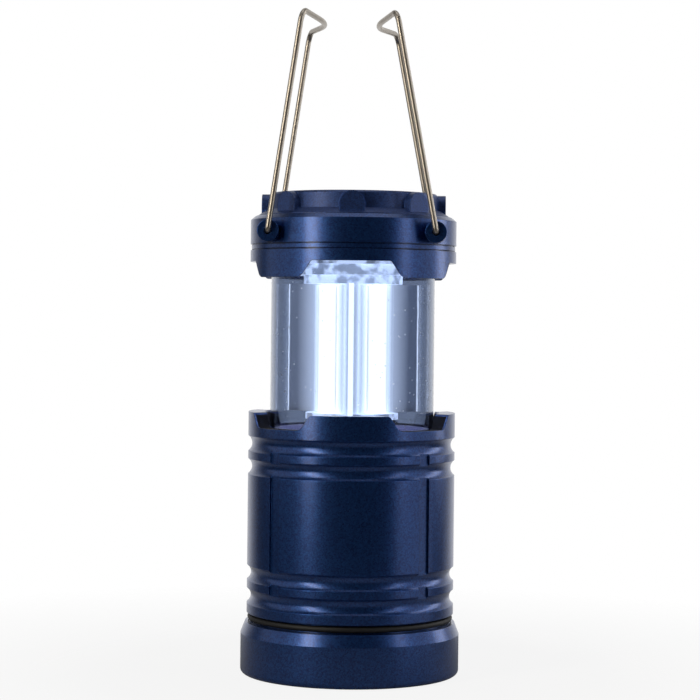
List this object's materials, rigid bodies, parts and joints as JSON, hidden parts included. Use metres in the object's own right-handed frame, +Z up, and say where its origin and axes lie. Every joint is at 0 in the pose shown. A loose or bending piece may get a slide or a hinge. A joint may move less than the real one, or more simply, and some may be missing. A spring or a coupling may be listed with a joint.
{
  "type": "camping lantern",
  "caption": "Pop-up camping lantern: painted barrel, clear lens that slides out of it over a lit column, castellated cap and folding wire bails.",
  "frame": {"origin": "centre of the base's underside", "axes": "+Z up along the barrel, -Y the front, +X to the right seen from the front"},
  "size_m": [0.088, 0.088, 0.2636],
  "materials": {
    "navy_paint": "satin metallic paint on ABS",
    "black_rubber": "matte",
    "clear_plastic": "clear, polished",
    "bright_plating": "vacuum-metallised ABS",
    "steel_wire": "drawn wire",
    "zinc_screw": "zinc plated",
    "black_plastic": "moulded ABS",
    "cell_jacket": "printed film, plain",
    "spring_brass": "stamped strip",
    "red_sleeve": "soft PVC",
    "black_sleeve": "soft PVC",
    "green_board": "solder mask",
    "white_board": "white solder mask on aluminium",
    "lit_phosphor": "phosphor gel, lit"
  },
  "bodies": {
    "body": {"body_shell": "navy_paint", "o_ring": "black_rubber", "battery_tray": "black_plastic", "tray_screws": "zinc_screw", "cell_1": "cell_jacket", "cell_2": "cell_jacket", "cell_3": "cell_jacket", "link_plate_right": "spring_brass", "link_plate_left": "spring_brass", "terminal_positive": "spring_brass", "terminal_negative": "spring_brass", "contact_rail_positive": "spring_brass", "contact_rail_negative": "spring_brass"},
    "base": {"base_cover": "navy_paint"},
    "head": {"lens": "clear_plastic", "carriage": "black_plastic", "wiper_positive": "spring_brass", "wiper_negative": "spring_brass", "lead_positive": "red_sleeve", "lead_negative": "black_sleeve", "reflector": "bright_plating", "column_foot": "bright_plating", "column_holder": "bright_plating", "driver_board": "green_board", "cap_skirt": "navy_paint", "cap_band": "navy_paint", "cap_screws": "zinc_screw", "crown_cover": "navy_paint", "cob_board_1": "white_board", "cob_board_2": "white_board", "cob_board_3": "white_board", "cob_phosphor_1": "lit_phosphor", "cob_phosphor_2": "lit_phosphor", "cob_phosphor_3": "lit_phosphor"},
    "left_bail": {"left_bail": "steel_wire"},
    "right_bail": {"right_bail": "steel_wire"}
  },
  "joints": [
    {"name": "head_slide", "type": "slide", "parent": "body", "child": "head", "axis": [0, 0, -1], "range_m": [0, 0.0593]},
    {"name": "left_bail_fold", "type": "hinge", "parent": "head", "child": "left_bail", "pos_m": [-0.0327, 0, 0.1767], "axis": [0, -1, 0], "range_deg": [-7, 185.4]},
    {"name": "right_bail_fold", "type": "hinge", "parent": "head", "child": "right_bail", "pos_m": [0.0327, 0, 0.1767], "axis": [0, 1, 0], "range_deg": [-4.8, 187.6]},
    {"name": "base_twist", "type": "hinge", "parent": "body", "child": "base", "pos_m": [0, 0, 0], "axis": [0, 0, -1], "range_deg": [0, 30]}
  ]
}
